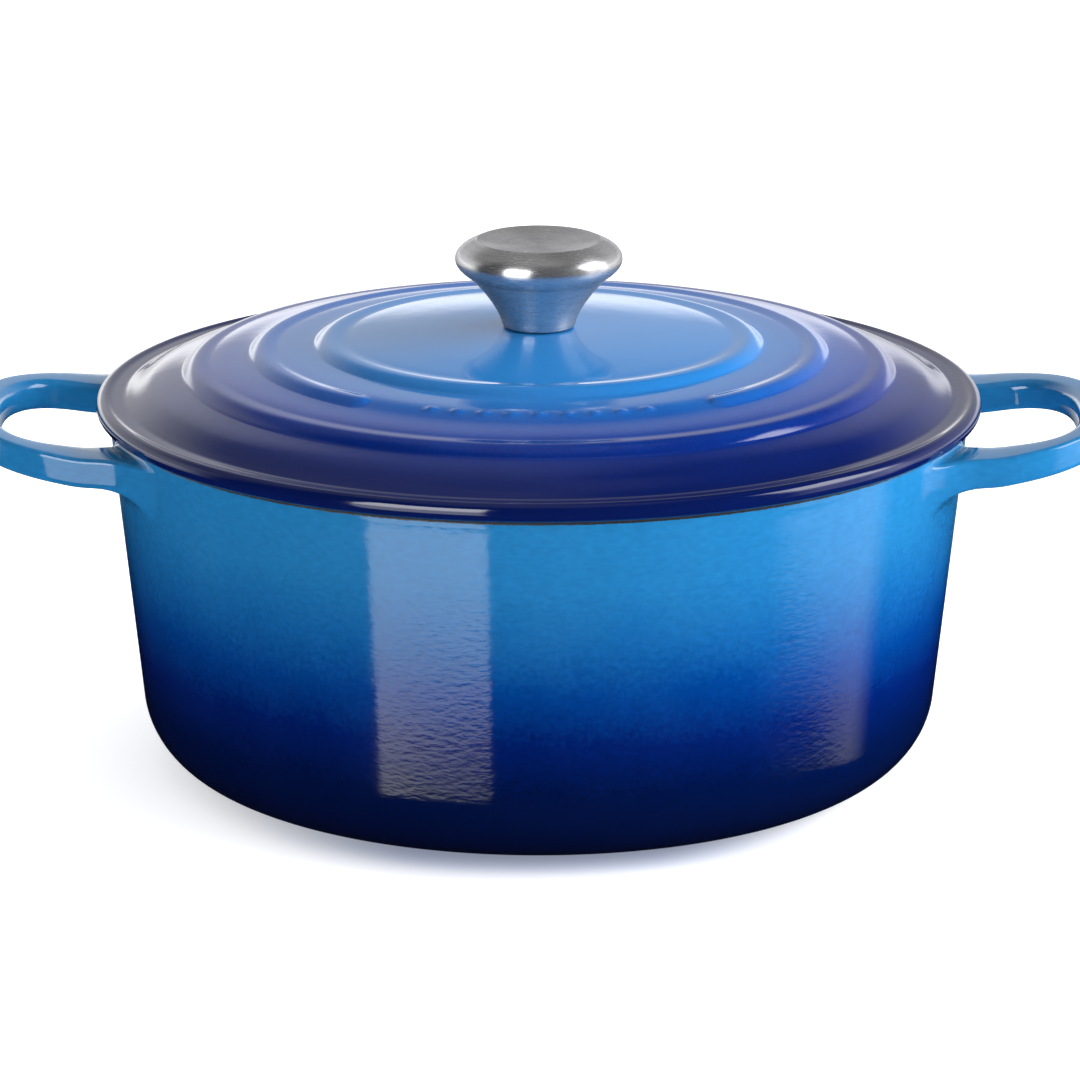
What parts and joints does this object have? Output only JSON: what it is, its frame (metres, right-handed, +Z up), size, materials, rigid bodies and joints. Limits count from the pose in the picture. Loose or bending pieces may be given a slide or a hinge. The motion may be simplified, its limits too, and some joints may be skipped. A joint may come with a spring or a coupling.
{
  "type": "dutch oven",
  "caption": "Round enamelled cast iron dutch oven with loop handles and a domed lid that lifts off by a flared steel knob.",
  "frame": {"origin": "middle of the base, on the surface that the pot stands on", "axes": "+Z up through the knob; +X towards one handle; -Y towards the opening in the lid's middle bead, which is the front"},
  "size_m": [0.349, 0.273, 0.1649],
  "materials": {
    "pot_enamel": "glossy speckled vitreous enamel, bright blue at the rim fading to near-black navy at the base",
    "lid_enamel": "glossy vitreous enamel, sky blue in the middle fading to indigo at the edge",
    "knob_steel": "stainless steel, brushed in circles",
    "fixing_steel": "satin stainless steel"
  },
  "bodies": {
    "pot": {"pot": "pot_enamel"},
    "lid": {"lid": "lid_enamel", "knob": "knob_steel", "knob_bush": "fixing_steel", "knob_screw": "fixing_steel", "spring_washer": "fixing_steel"}
  },
  "joints": [
    {"name": "lid_lift", "type": "slide", "parent": "pot", "child": "lid", "axis": [0, 0, 1], "range_m": [0, 0.2]}
  ]
}
